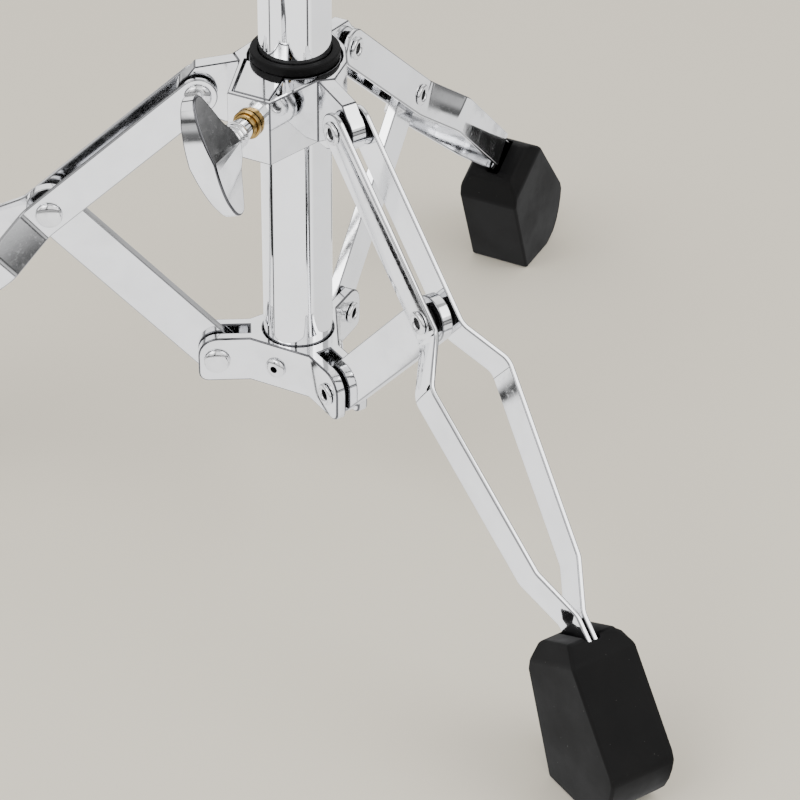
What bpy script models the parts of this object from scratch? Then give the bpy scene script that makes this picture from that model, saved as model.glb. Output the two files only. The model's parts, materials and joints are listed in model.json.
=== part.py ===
"""Folding tripod base of a double-braced drum hardware stand, metres, +Z up.

The base tube stands on the z axis of the `stand` empty. A cast lower hub is riveted to the tube's
end, an upper hub slides on the tube, and three double-strip legs hang from the upper hub. Each leg
is held out by a brace from the lower hub.
"""
import math

import bmesh
import bpy
from mathutils import Matrix, Vector

MM = 0.001
GAP = 0.35 * MM                      # clearance left between touching pieces

# Heights and linkage
PIVOT_HEIGHT = 200.0 * MM            # upper hub pivots above the floor
PIVOT_DROP = 125.4 * MM              # lower hub pivots below the upper ones
HUB_PIVOT_RADIUS = 38.35 * MM
CLEVIS_PIVOT_RADIUS = 34.0 * MM
ELBOW_RADIUS = 99.4 * MM
ELBOW_DROP = 52.6 * MM
STAND_HEIGHT = 560.0 * MM
LEG_AZIMUTHS = {"left": 180.0, "front": 300.0, "rear": 60.0}

# Tube
TUBE_RADIUS = 14.3 * MM
TUBE_WALL = 1.5 * MM
TUBE_TOP = 546.0 * MM
ROUND_STEPS = 32

# Leg strips, braces and rivets
STRIP_WIDTH = 15.6 * MM
STRIP_THICKNESS = 2.1 * MM
STRIP_OFFSET = 5.85 * MM             # strip's centre from the leg's middle plane
SPLAY_OFFSET = 17.7 * MM
TIP_OFFSET = 1.4 * MM
STRIP_LENGTH = 225.0 * MM
BRACE_WIDTH = 18.8 * MM
BRACE_THICKNESS = 4.6 * MM
PIN_RADIUS = 2.9 * MM
PIN_HOLE = 3.3 * MM
DOME_RADIUS = 5.5 * MM
DOME_HEIGHT = 2.0 * MM
EYELET_RADIUS = 4.7 * MM
EYELET_HEIGHT = 1.3 * MM
EYELET_BORE = 2.1 * MM
RIVET_STEPS = 16

# Upper hub, heights from the pivots
HUB_TOP = 14.0 * MM
HUB_BOTTOM = -13.5 * MM
VALLEY_RADIUS = 21.9 * MM
WEB_RADIUS = 24.0 * MM                # small panels meet the arms here
WEB_DISTANCE = 20.1 * MM
WEB_HALF_WIDTH = 6.2 * MM
ARM_HALF_WIDTH = 3.3 * MM
ARM_END_RADIUS = 8.4 * MM
ARM_SLOPE = math.radians(8.0)
BOSS_DISTANCE = 37.7 * MM            # flat boss face from the tube's axis
BOSS_HALF_WIDTH = 9.3 * MM
SHEET = 2.0 * MM
NECK_INNER = 16.7 * MM
NECK_OUTER = 18.3 * MM
PLATE_THICKNESS = 1.8 * MM
COLLAR_RADIUS = 17.8 * MM
COLLAR_HEIGHT = 3.4 * MM
LOCK_AZIMUTH = 240.0
LOCK_HEIGHT = 2.9 * MM               # screw's height from the pivots

# Lower hub, heights from its pivots
LOWER_TOP = 10.8 * MM
LOWER_BOTTOM = -10.2 * MM
PANEL_DISTANCE = 16.6 * MM
EAR_OUTER = 7.5 * MM
EAR_INNER = 3.0 * MM
EAR_END = 41.8 * MM
EAR_TOP_CORNER = 8.5 * MM
EAR_BOTTOM_CORNER = 4.0 * MM
SLOT_START = 20.2 * MM

# Rubber foot
FOOT_HALF_WIDTH = 14.6 * MM
FOOT_CHAMFER = 2.4 * MM

# Locking screws and wings
SCREW_RADIUS = 3.0 * MM
WING_TILT = math.radians(21.7)
WING_WIDTH = 15.0 * MM
WING_TIP_WIDTH = 7.8 * MM
WING_REACH = 26.0 * MM

# Tube clamp
CLAMP_BOTTOM = 524.0 * MM
CLAMP_RADIUS = 18.6 * MM
CLAMP_SLIT = 3.0 * MM
UPPER_TUBE_RADIUS = 12.7 * MM

COLOURS = {
    "chrome": ((0.80, 0.81, 0.83), 0.10, 1.0),
    "rubber": ((0.020, 0.020, 0.021), 0.62, 0.0),
    "black_nylon": ((0.015, 0.015, 0.016), 0.42, 0.0),
    "brass": ((0.78, 0.57, 0.22), 0.22, 1.0),
}


def clear_scene():
    for obj in list(bpy.data.objects):
        bpy.data.objects.remove(obj, do_unlink=True)


def paint(obj, finish):
    """Give the object a material of its own in the named finish."""
    colour, roughness, metallic = COLOURS[finish]
    material = bpy.data.materials.new(obj.name + "_" + finish)
    material.use_nodes = True
    shader = material.node_tree.nodes["Principled BSDF"]
    shader.inputs["Base Color"].default_value = (*colour, 1.0)
    shader.inputs["Roughness"].default_value = roughness
    shader.inputs["Metallic"].default_value = metallic
    obj.data.materials.append(material)


def empty(name, parent=None, matrix=Matrix.Identity(4)):
    obj = bpy.data.objects.new(name, None)
    bpy.context.scene.collection.objects.link(obj)
    obj.parent = parent
    obj.matrix_local = matrix
    return obj


def piece(name, bm, parent, finish=None, matrix=None, smooth=30.0):
    """Turn a bmesh into an object; one without a finish is a cutter or a joined shape."""
    bmesh.ops.recalc_face_normals(bm, faces=bm.faces)
    mesh = bpy.data.meshes.new(name)
    bm.to_mesh(mesh)
    bm.free()
    if smooth:
        mesh.shade_smooth()
        mesh.set_sharp_from_angle(angle=math.radians(smooth))
    obj = bpy.data.objects.new(name, mesh)
    bpy.context.scene.collection.objects.link(obj)
    obj.parent = parent
    if matrix is not None:
        obj.matrix_local = matrix
    if finish:
        paint(obj, finish)
    else:
        obj.hide_render = True
        obj.display_type = "WIRE"
    return obj


def combine(obj, other, operation):
    """Boolean another shape into the object: DIFFERENCE, UNION or INTERSECT."""
    modifier = obj.modifiers.new(operation.lower() + "_" + other.name, "BOOLEAN")
    modifier.operation = operation
    modifier.solver = "EXACT"
    modifier.object = other


def prism(outline, low, high, plane="XY"):
    """Closed prism over a flat outline; plane XZ runs along Y and YZ along X."""
    place = {"XY": lambda a, b, c: (a, b, c),
             "XZ": lambda a, b, c: (a, c, b),
             "YZ": lambda a, b, c: (c, a, b)}[plane]
    bm = bmesh.new()
    base = [bm.verts.new(place(a, b, low)) for a, b in outline]
    face = bm.faces.new(base)
    top = bmesh.ops.extrude_face_region(bm, geom=[face])["geom"]
    step = Vector(place(0.0, 0.0, high - low))
    bmesh.ops.translate(bm, vec=step, verts=[v for v in top if isinstance(v, bmesh.types.BMVert)])
    return bm


def rod(radius, low, high, axis="Z", steps=RIVET_STEPS, offset=(0.0, 0.0, 0.0)):
    """Closed cylinder along an axis, between two stations."""
    bm = bmesh.new()
    bmesh.ops.create_cone(bm, cap_ends=True, segments=steps, radius1=radius, radius2=radius,
                          depth=high - low)
    turn = {"Z": Matrix.Identity(4), "Y": Matrix.Rotation(-math.pi / 2, 4, "X"),
            "X": Matrix.Rotation(math.pi / 2, 4, "Y")}[axis]
    middle = Matrix.Translation((0.0, 0.0, (low + high) / 2))
    flats = Matrix.Rotation(math.pi / steps, 4, "Z")
    bmesh.ops.transform(bm, matrix=Matrix.Translation(offset) @ turn @ middle @ flats, verts=bm.verts)
    return bm


def turned(profile, steps, closed=False):
    """Solid of revolution about Z from (radius, z) points; ends on the axis make poles."""
    bm = bmesh.new()
    rings = []
    for radius, z in profile:
        if radius < 1e-9:
            rings.append([bm.verts.new((0.0, 0.0, z))])
            continue
        angles = [2 * math.pi * k / steps for k in range(steps)]
        rings.append([bm.verts.new((radius * math.cos(a), radius * math.sin(a), z))
                      for a in angles])
    pairs = list(zip(rings, rings[1:])) + ([(rings[-1], rings[0])] if closed else [])
    for first, second in pairs:
        for k in range(steps):
            n = (k + 1) % steps
            corners = [first[k % len(first)], first[n % len(first)],
                       second[n % len(second)], second[k % len(second)]]
            distinct = list(dict.fromkeys(corners))
            if len(distinct) > 2:
                bm.faces.new(distinct)
    return bm


def arc(centre, radius, start, end, steps):
    """Points on an arc, angles in degrees."""
    angles = [math.radians(start + (end - start) * k / steps) for k in range(steps + 1)]
    return [(centre[0] + radius * math.cos(a), centre[1] + radius * math.sin(a)) for a in angles]


def polar(radius, degrees):
    return (radius * math.cos(math.radians(degrees)), radius * math.sin(math.radians(degrees)))


def spin_about_z(points, degrees):
    cosine, sine = math.cos(math.radians(degrees)), math.sin(math.radians(degrees))
    return [(x * cosine - y * sine, x * sine + y * cosine) for x, y in points]


def fillet(points, radius, steps=3):
    """Replace the inner corners of an open path by arcs."""
    path = [Vector(points[0])]
    for before, corner, after in zip(points, points[1:], points[2:]):
        corner = Vector(corner)
        back = (Vector(before) - corner).normalized()
        ahead = (Vector(after) - corner).normalized()
        turn = math.pi - back.angle(ahead)
        reach = radius * math.tan(turn / 2)
        centre = corner + (back + ahead).normalized() * radius / math.cos(turn / 2)
        first = corner + back * reach - centre
        sign = 1.0 if back.x * ahead.y - back.y * ahead.x < 0 else -1.0
        for k in range(steps + 1):
            path.append(centre + Matrix.Rotation(sign * turn * k / steps, 2) @ first)
    return path + [Vector(points[-1])]


# ---------------------------------------------------------------- rivets and washers

def rivet_profile(dome_side, eyelet_side):
    """Rivet along Z: domed head above dome_side, rolled hollow end below eyelet_side."""
    dome = [(DOME_RADIUS * math.cos(a), dome_side + DOME_HEIGHT * math.sin(a))
            for a in (math.radians(15 * k) for k in (1, 3, 5))]
    shank_low = eyelet_side
    return [(0.0, dome_side + DOME_HEIGHT)] + dome[::-1] + [
        (DOME_RADIUS, dome_side), (PIN_RADIUS, dome_side), (PIN_RADIUS, shank_low),
        (EYELET_RADIUS, shank_low), (EYELET_RADIUS - 0.5 * MM, shank_low - EYELET_HEIGHT),
        (EYELET_BORE + 0.8 * MM, shank_low - EYELET_HEIGHT),
        (EYELET_BORE, shank_low - EYELET_HEIGHT + 0.7 * MM),
        (EYELET_BORE, shank_low + 3.0 * MM), (0.0, shank_low + 3.0 * MM)]


def rivet(name, half_span, parent, matrix):
    """Full rivet whose axis is the parent's Y; the dome is on the +Y side."""
    bm = turned(rivet_profile(half_span + GAP, -half_span - GAP), RIVET_STEPS)
    return piece(name, bm, parent, "chrome", matrix @ Matrix.Rotation(-math.pi / 2, 4, "X"))


def dome_half(name, face, shank_end, parent, matrix):
    profile = [p for p in rivet_profile(face + GAP, -1.0) if p[1] > face]
    profile = profile + [(PIN_RADIUS, shank_end), (0.0, shank_end)]
    return piece(name, turned(profile, RIVET_STEPS), parent, "chrome",
                 matrix @ Matrix.Rotation(-math.pi / 2, 4, "X"))


def eyelet_half(name, face, shank_end, parent, matrix):
    profile = [(0.0, -shank_end), (PIN_RADIUS, -shank_end), (PIN_RADIUS, -face - GAP),
               (EYELET_RADIUS, -face - GAP),
               (EYELET_RADIUS - 0.5 * MM, -face - GAP - EYELET_HEIGHT),
               (EYELET_BORE + 0.8 * MM, -face - GAP - EYELET_HEIGHT),
               (EYELET_BORE, -face - GAP - EYELET_HEIGHT + 0.7 * MM),
               (EYELET_BORE, -face + 0.8 * MM), (0.0, -face + 0.8 * MM)]
    return piece(name, turned(profile, RIVET_STEPS), parent, "chrome",
                 matrix @ Matrix.Rotation(-math.pi / 2, 4, "X"))


def washer(name, inner, outer, low, high, parent, matrix, finish="black_nylon"):
    profile = [(inner, low), (outer, low), (outer, high), (inner, high)]
    return piece(name, turned(profile, RIVET_STEPS, closed=True), parent, finish,
                 matrix @ Matrix.Rotation(-math.pi / 2, 4, "X"))


# ---------------------------------------------------------------- legs

LEG_SLOPE = math.atan2(ELBOW_DROP, ELBOW_RADIUS - HUB_PIVOT_RADIUS)
LEG_TO_ELBOW = math.hypot(ELBOW_DROP, ELBOW_RADIUS - HUB_PIVOT_RADIUS)
BRACE_RISE = math.atan2(PIVOT_DROP - ELBOW_DROP, ELBOW_RADIUS - CLEVIS_PIVOT_RADIUS)
BRACE_LENGTH = math.hypot(PIVOT_DROP - ELBOW_DROP, ELBOW_RADIUS - CLEVIS_PIVOT_RADIUS)


def strip_path():
    """Strip's centre line seen from above: along the leg, then across it."""
    corners = [(0.0, STRIP_OFFSET), (LEG_TO_ELBOW + 7.5 * MM, STRIP_OFFSET),
               (LEG_TO_ELBOW + 26.5 * MM, SPLAY_OFFSET), (186.0 * MM, 9.6 * MM),
               (206.0 * MM, TIP_OFFSET), (STRIP_LENGTH, TIP_OFFSET)]
    return fillet(corners, 9.0 * MM)


def strip_columns():
    """Stations (point on the path, side normal, half width) from the round end to the tip."""
    columns = []
    for k in range(7):
        angle = math.radians(90.0 * k / 6)
        along = -STRIP_WIDTH / 2 * math.cos(angle)
        columns.append((Vector((along, STRIP_OFFSET)), Vector((0.0, 1.0)),
                        STRIP_WIDTH / 2 * math.sin(angle)))
    path = strip_path()
    for k, point in enumerate(path[1:], start=1):
        after = path[min(k + 1, len(path) - 1)]
        run = (after - path[k - 1]).normalized()
        columns.append((point, Vector((-run.y, run.x)), STRIP_WIDTH / 2))
    return columns


def leg_strip(name, side, parent):
    """Bent flat strip; side +1 is the dome side and -1 the eyelet side."""
    bm = bmesh.new()
    rows = []
    for point, normal, half in strip_columns():
        row = []
        for face in (STRIP_THICKNESS / 2, -STRIP_THICKNESS / 2):
            at = point + normal * face
            heights = (half, -half) if half > 1e-9 else (0.0,)
            row.append([bm.verts.new((at.x, side * at.y, h)) for h in heights])
        rows.append(row)
    for first, second in zip(rows, rows[1:]):
        for face in (0, 1):
            ring = [first[face][0], second[face][0], second[face][1], first[face][-1]]
            bm.faces.new(list(dict.fromkeys(ring)))
        for edge in (0, -1):
            bm.faces.new([first[0][edge], second[0][edge], second[1][edge], first[1][edge]])
    last = rows[-1]
    bm.faces.new([last[0][0], last[0][1], last[1][1], last[1][0]])
    strip = piece(name, bm, parent, "chrome")
    for place, along in (("hub", 0.0), ("elbow", LEG_TO_ELBOW)):
        hole = piece(name + "_" + place + "_hole",
                     rod(PIN_HOLE, 0.0, 2 * STRIP_OFFSET, "Y", 12, (along, 0.0, 0.0)), parent)
        if side < 0:
            hole.matrix_local = Matrix.Translation((0.0, -2 * STRIP_OFFSET, 0.0))
        combine(strip, hole, "DIFFERENCE")
    return strip


def foot_outline():
    """Foot seen from the side, in the leg's (along, normal): mouth, top, nose, flat sole."""
    top = [(208.5, -8.5), (211.5, 10.5), (214.5, 12.0), (268.0, 2.0), (272.5, -4.5), (277.0, -14.0),
           (277.6, -21.0)]
    under = [(215.6, -22.0), (208.5, -12.0)]
    sole = [sole_point(228.0 * MM), sole_point(204.0 * MM)]
    return [(s * MM, h * MM) for s, h in top] + sole + [(s * MM, h * MM) for s, h in under]


def sole_point(radius):
    """Point on the floor at a radius from the tube, in the leg's (along, normal)."""
    out, down = radius - HUB_PIVOT_RADIUS, PIVOT_HEIGHT
    return (out * math.cos(LEG_SLOPE) + down * math.sin(LEG_SLOPE),
            out * math.sin(LEG_SLOPE) - down * math.cos(LEG_SLOPE))


def rubber_foot(name, parent):
    bm = prism(foot_outline(), -FOOT_HALF_WIDTH, FOOT_HALF_WIDTH, "XZ")
    foot = piece(name, bm, parent, "rubber")
    bevel = foot.modifiers.new("edge_chamfer", "BEVEL")
    bevel.width = FOOT_CHAMFER
    bevel.segments = 1
    bevel.limit_method = "ANGLE"
    bevel.angle_limit = math.radians(60.0)
    half = TIP_OFFSET + STRIP_THICKNESS / 2 + GAP
    high = STRIP_WIDTH / 2 + GAP
    outline = [(195.0 * MM, -high), (STRIP_LENGTH + GAP, -high), (STRIP_LENGTH + GAP, high),
               (195.0 * MM, high)]
    combine(foot, piece(name + "_pocket", prism(outline, -half, half, "XZ"), parent), "DIFFERENCE")
    return foot


def leg(side_name, azimuth, parent):
    """Two strips, rubber foot, hub rivet, elbow rivet halves and washers."""
    turn = Matrix.Rotation(math.radians(azimuth), 4, "Z")
    place = Matrix.Translation((HUB_PIVOT_RADIUS, 0.0, 0.0)) @ Matrix.Rotation(LEG_SLOPE, 4, "Y")
    frame = empty(side_name + "_leg_pivot", parent, turn @ place)
    elbow = Matrix.Translation((LEG_TO_ELBOW, 0.0, 0.0))
    still = Matrix.Identity(4)
    outer = STRIP_OFFSET + STRIP_THICKNESS / 2
    inner = STRIP_OFFSET - STRIP_THICKNESS / 2
    leg_strip(side_name + "_leg_strip_dome_side", 1, frame)
    leg_strip(side_name + "_leg_strip_eyelet_side", -1, frame)
    rubber_foot(side_name + "_foot", frame)
    rivet(side_name + "_hub_rivet", outer, frame, still)
    dome_half(side_name + "_elbow_rivet_dome", outer, inner, frame, elbow)
    eyelet_half(side_name + "_elbow_rivet_eyelet", outer, inner, frame, elbow)
    hub_low = ARM_HALF_WIDTH + GAP
    elbow_low = BRACE_THICKNESS / 2 + 0.6 * MM
    for word, sign in (("dome", 1), ("eyelet", -1)):
        flip = Matrix.Identity(4) if sign > 0 else Matrix.Rotation(math.pi, 4, "Z")
        washer(side_name + "_hub_washer_" + word, PIN_HOLE, 6.0 * MM, hub_low,
               inner - GAP, frame, still @ flip)
        washer(side_name + "_elbow_washer_" + word, PIN_HOLE, 6.0 * MM, elbow_low,
               inner - GAP, frame, elbow @ flip)
    return frame


def brace(side_name, azimuth, parent):
    """Flat bar from the lower hub's clevis up to the leg's elbow, with its clevis rivet."""
    turn = Matrix.Rotation(math.radians(azimuth), 4, "Z")
    place = Matrix.Translation((CLEVIS_PIVOT_RADIUS, 0.0, 0.0)) @ Matrix.Rotation(-BRACE_RISE, 4, "Y")
    frame = empty(side_name + "_brace_pivot", parent, turn @ place)
    half = BRACE_WIDTH / 2
    outline = (arc((0.0, 0.0), half, 90.0, 270.0, 10)
               + arc((BRACE_LENGTH, 0.0), half, -90.0, 90.0, 10))
    bar = piece(side_name + "_brace",
                prism(outline, -BRACE_THICKNESS / 2, BRACE_THICKNESS / 2, "XZ"), frame, "chrome")
    for word, along in (("clevis", 0.0), ("elbow", BRACE_LENGTH)):
        hole = rod(PIN_HOLE, -BRACE_THICKNESS, BRACE_THICKNESS, "Y", 12, (along, 0.0, 0.0))
        combine(bar, piece(side_name + "_brace_" + word + "_hole", hole, frame), "DIFFERENCE")
    return frame


# ---------------------------------------------------------------- upper hub

def arm_outline():
    """Arm seen from the side: sloping top, round end about the pivot, flat bottom."""
    end = arc((HUB_PIVOT_RADIUS, 0.0), ARM_END_RADIUS, 62.0, -90.0, 9)
    top_at_end = HUB_TOP - (HUB_PIVOT_RADIUS + 3.0 * MM - VALLEY_RADIUS) * math.tan(ARM_SLOPE)
    return ([(VALLEY_RADIUS - 2.0 * MM, HUB_TOP), (VALLEY_RADIUS, HUB_TOP),
             (HUB_PIVOT_RADIUS + 1.0 * MM, top_at_end)] + end
            + [(VALLEY_RADIUS + 6.0 * MM, HUB_BOTTOM), (VALLEY_RADIUS - 2.0 * MM, HUB_BOTTOM)])


def boss_sector(inset):
    """Outline round the boss from one arm to the next, in the frame of the boss's azimuth."""
    half = BOSS_HALF_WIDTH - inset * math.tan(math.radians(33.0))
    distance = BOSS_DISTANCE - inset
    valley = VALLEY_RADIUS - 1.15 * inset
    side = ARM_HALF_WIDTH - 0.6 * inset
    start = spin_about_z([(valley, side)], -60.0)
    end = spin_about_z([(valley, -side)], 60.0)
    return start + [(distance, -half), (distance, half)] + end


def web_sector():
    """Outline round a small flat panel between two arms."""
    start = spin_about_z([(WEB_RADIUS, ARM_HALF_WIDTH)], -60.0)
    end = spin_about_z([(WEB_RADIUS, -ARM_HALF_WIDTH)], 60.0)
    return start + [(WEB_DISTANCE, -WEB_HALF_WIDTH), (WEB_DISTANCE, WEB_HALF_WIDTH)] + end


def hub_ring_outline():
    points = spin_about_z(boss_sector(0.0), LOCK_AZIMUTH)
    for azimuth in (0.0, 120.0):
        points += spin_about_z(web_sector(), azimuth)
    return points


def hub_frame(parent):
    """Cast frame: three arms, and a hollow boss for the locking screw between two of them."""
    frame = piece("hub_frame", prism(hub_ring_outline(), HUB_BOTTOM, HUB_TOP), parent, "chrome")
    for side_name, azimuth in LEG_AZIMUTHS.items():
        turn = Matrix.Rotation(math.radians(azimuth), 4, "Z")
        bar = prism(arm_outline(), -ARM_HALF_WIDTH, ARM_HALF_WIDTH, "XZ")
        combine(frame, piece("hub_arm_" + side_name, bar, parent, matrix=turn), "UNION")
        hole = rod(PIN_HOLE, -0.01, 0.01, "Y", 12, (HUB_PIVOT_RADIUS, 0.0, 0.0))
        combine(frame, piece("hub_hole_" + side_name, hole, parent, matrix=turn), "DIFFERENCE")
    bore = rod(NECK_OUTER + GAP, -0.1, 0.1, steps=ROUND_STEPS)
    combine(frame, piece("hub_bore", bore, parent), "DIFFERENCE")
    hollow = [(0.0, 0.0)] + boss_sector(SHEET)
    turn = Matrix.Rotation(math.radians(LOCK_AZIMUTH), 4, "Z")
    inside = piece("hub_boss_hollow", prism(hollow, -0.1, 0.1), parent, matrix=turn)
    combine(frame, inside, "DIFFERENCE")
    combine(frame, lock_hole("hub_frame_lock_hole", 4.4 * MM, 0.030, 0.045, parent), "DIFFERENCE")
    return frame


def lock_hole(name, radius, low, high, parent):
    turn = Matrix.Rotation(math.radians(LOCK_AZIMUTH), 4, "Z")
    bm = rod(radius, low, high, "X", 16, (0.0, 0.0, LOCK_HEIGHT))
    return piece(name, bm, parent, matrix=turn)


def plate_outline():
    """Tab over the boss, from the left arm's side; a notch stays open by the front arm."""
    valley, first, second, _ = boss_sector(SHEET + GAP)
    root = [polar(NECK_INNER + 0.6 * MM, a) for a in (15.0, -15.0, -45.0)]
    return spin_about_z([valley], 3.0) + [first, second] + root


def hub_plate(parent):
    """Top plate with its neck, a short tube that holds the bushing."""
    turn = Matrix.Rotation(math.radians(LOCK_AZIMUTH), 4, "Z")
    tab = prism(plate_outline(), HUB_TOP - PLATE_THICKNESS, HUB_TOP)
    neck = rod(NECK_OUTER, HUB_BOTTOM, HUB_TOP - 0.5 * MM, steps=ROUND_STEPS)
    plate = piece("hub_plate", neck, parent, "chrome")
    combine(plate, piece("hub_plate_tab", tab, parent, matrix=turn), "UNION")
    bore = rod(NECK_INNER, -0.05, 0.05, steps=ROUND_STEPS)
    combine(plate, piece("hub_neck_bore", bore, parent), "DIFFERENCE")
    combine(plate, lock_hole("hub_neck_lock_hole", 3.6 * MM, 0.010, 0.025, parent), "DIFFERENCE")
    return plate


def hub_bushing(parent):
    """Nylon bushing that slides on the tube, with the collar seen on top of the hub."""
    inner, outer = TUBE_RADIUS + GAP, NECK_INNER - GAP
    low, seat = HUB_BOTTOM - 0.5 * MM, HUB_TOP + GAP
    top = seat + COLLAR_HEIGHT
    profile = [(inner, low), (outer, low), (outer, seat), (COLLAR_RADIUS, seat),
               (COLLAR_RADIUS, top - 0.8 * MM), (COLLAR_RADIUS - 0.8 * MM, top), (inner, top)]
    return piece("hub_bushing", turned(profile, ROUND_STEPS, closed=True), parent, "black_nylon")


def hub_lock_frame(parent):
    """Frame on the locking screw: Z runs out along the screw, from the tube's axis."""
    turn = Matrix.Rotation(math.radians(LOCK_AZIMUTH), 4, "Z")
    lift = Matrix.Translation((0.0, 0.0, LOCK_HEIGHT))
    outward = Matrix.Rotation(math.pi / 2, 4, "Y")
    return empty("hub_lock_axis", parent, turn @ lift @ outward)


def brass_nut(parent):
    """Stepped brass insert in the boss that the locking screw runs in."""
    face = BOSS_DISTANCE + GAP
    bore = SCREW_RADIUS + GAP
    profile = [(bore, face - 3.4 * MM), (4.0 * MM, face - 3.4 * MM), (4.0 * MM, face),
               (5.9 * MM, face), (5.9 * MM, face + 1.5 * MM), (5.2 * MM, face + 1.8 * MM),
               (5.2 * MM, face + 3.2 * MM), (4.6 * MM, face + 3.6 * MM), (bore, face + 3.6 * MM)]
    return piece("hub_lock_nut", turned(profile, 20, closed=True), parent, "brass")


# ---------------------------------------------------------------- locking screws

def screw_profile(tip, end):
    """Screw along Z with a chamfered tip."""
    return [(0.0, tip), (SCREW_RADIUS - 0.8 * MM, tip), (SCREW_RADIUS, tip + 0.8 * MM),
            (SCREW_RADIUS, end), (0.0, end)]


def wing_outline():
    """Half of the wing in the plane of the screw: station along it, distance out."""
    half = [(9.0, 0.0), (9.0, 4.5), (13.4, 6.5), (15.9, 10.0), (17.9, 17.0), (19.9, 24.0), (22.4, 26.0),
            (25.4, 26.0), (27.4, 24.5), (29.9, 20.0), (31.4, 12.0), (31.9, 0.0)]
    return [(station * MM, distance * MM) for station, distance in half]


def wing(name, base, parent, matrix, length_bore):
    """Cast bow of two wings that narrow to their tips, and a barrel bored blind for the screw."""
    half = wing_outline()
    outline = half + [(a, -b) for a, b in reversed(half[1:-1])]
    bm = prism([(b, a) for a, b in outline], -WING_WIDTH / 2, WING_WIDTH / 2, "XZ")
    bmesh.ops.bisect_plane(bm, geom=bm.verts[:] + bm.edges[:] + bm.faces[:], dist=1e-6,
                           plane_co=(0, 0, 0), plane_no=(1, 0, 0))
    for vert in bm.verts:
        vert.co.y *= 1.0 - (1.0 - WING_TIP_WIDTH / WING_WIDTH) * abs(vert.co.x) / WING_REACH
    place = matrix @ Matrix.Translation((0.0, 0.0, base))
    body = piece(name, bm, parent, "chrome", place)
    barrel = turned([(0.0, 0.0), (4.6 * MM, 0.0), (4.6 * MM, 3.2 * MM), (5.6 * MM, 4.0 * MM),
                     (6.2 * MM, 9.0 * MM), (6.2 * MM, 16.0 * MM), (5.0 * MM, 22.0 * MM),
                     (0.0, 23.4 * MM)], 20)
    combine(body, piece(name + "_barrel", barrel, parent, matrix=place), "UNION")
    bore = rod(SCREW_RADIUS + GAP, -0.01, length_bore + GAP)
    combine(body, piece(name + "_bore", bore, parent, matrix=place), "DIFFERENCE")
    return body


def hub_lock(parent):
    """Locking screw with its wing and brass nut on the hub's boss."""
    frame = hub_lock_frame(parent)
    brass_nut(frame)
    base = BOSS_DISTANCE + 4.6 * MM
    screw = turned(screw_profile(NECK_INNER - 0.05 * MM, base + 12.0 * MM), 16)
    piece("hub_lock_screw", screw, frame, "chrome")
    turn = Matrix.Rotation(WING_TILT, 4, "Z")
    wing("hub_lock_wing", base, frame, turn, 12.0 * MM)


# ---------------------------------------------------------------- lower hub

def lower_ring_outline():
    """Outline of the middle: a flat panel between each pair of arms."""
    corner = (PANEL_DISTANCE - EAR_OUTER * math.sin(math.radians(60.0))) / math.cos(math.radians(60.0))
    points = []
    for azimuth in LEG_AZIMUTHS.values():
        points += spin_about_z([(corner, -EAR_OUTER), (corner, EAR_OUTER)], azimuth)
    return points


def ear_outline():
    """Clevis ear from the side: square at the tube, its outer corners rounded."""
    start = 15.5 * MM
    low = arc((EAR_END - EAR_BOTTOM_CORNER, LOWER_BOTTOM + EAR_BOTTOM_CORNER), EAR_BOTTOM_CORNER,
              -90.0, 0.0, 4)
    high = arc((EAR_END - EAR_TOP_CORNER, LOWER_TOP - EAR_TOP_CORNER), EAR_TOP_CORNER, 0.0, 90.0, 7)
    return [(start, LOWER_TOP), (start, LOWER_BOTTOM)] + low + high


def lower_hub(parent):
    """Cast hub at the tube's end, with a clevis for each brace."""
    hub = piece("lower_hub", prism(lower_ring_outline(), LOWER_BOTTOM, LOWER_TOP), parent, "chrome")
    for side_name, azimuth in LEG_AZIMUTHS.items():
        turn = Matrix.Rotation(math.radians(azimuth), 4, "Z")
        arm = prism(ear_outline(), -EAR_OUTER, EAR_OUTER, "XZ")
        combine(hub, piece("lower_arm_" + side_name, arm, parent, matrix=turn), "UNION")
    bore = rod(TUBE_RADIUS + GAP, -0.05, 0.05, steps=ROUND_STEPS)
    combine(hub, piece("lower_bore", bore, parent), "DIFFERENCE")
    for side_name, azimuth in LEG_AZIMUTHS.items():
        turn = Matrix.Rotation(math.radians(azimuth), 4, "Z")
        slot = prism([(SLOT_START, -EAR_INNER), (0.06, -EAR_INNER), (0.06, EAR_INNER),
                      (SLOT_START, EAR_INNER)], -0.03, 0.03)
        combine(hub, piece("lower_slot_" + side_name, slot, parent, matrix=turn), "DIFFERENCE")
        hole = rod(PIN_HOLE, -0.02, 0.02, "Y", 12, (CLEVIS_PIVOT_RADIUS, 0.0, 0.0))
        combine(hub, piece("lower_hole_" + side_name, hole, parent, matrix=turn), "DIFFERENCE")
    for name, azimuth in PANEL_RIVETS.items():
        combine(hub, panel_hole("lower_" + name + "_hole", azimuth, parent), "DIFFERENCE")
    return hub


PANEL_RIVETS = {"panel_rivet_front_left": 240.0, "panel_rivet_right": 0.0,
                "panel_rivet_rear_left": 120.0}
PANEL_RIVET_SHANK = 2.2 * MM
PANEL_RIVET_OFFSET = -1.7 * MM       # sideways from the panel's middle


def panel_hole(name, azimuth, parent):
    turn = Matrix.Rotation(math.radians(azimuth), 4, "Z")
    hole = rod(PANEL_RIVET_SHANK + GAP, 0.008, 0.03, "X", 12, (0.0, PANEL_RIVET_OFFSET, 0.0))
    return piece(name, hole, parent, matrix=turn)


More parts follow.
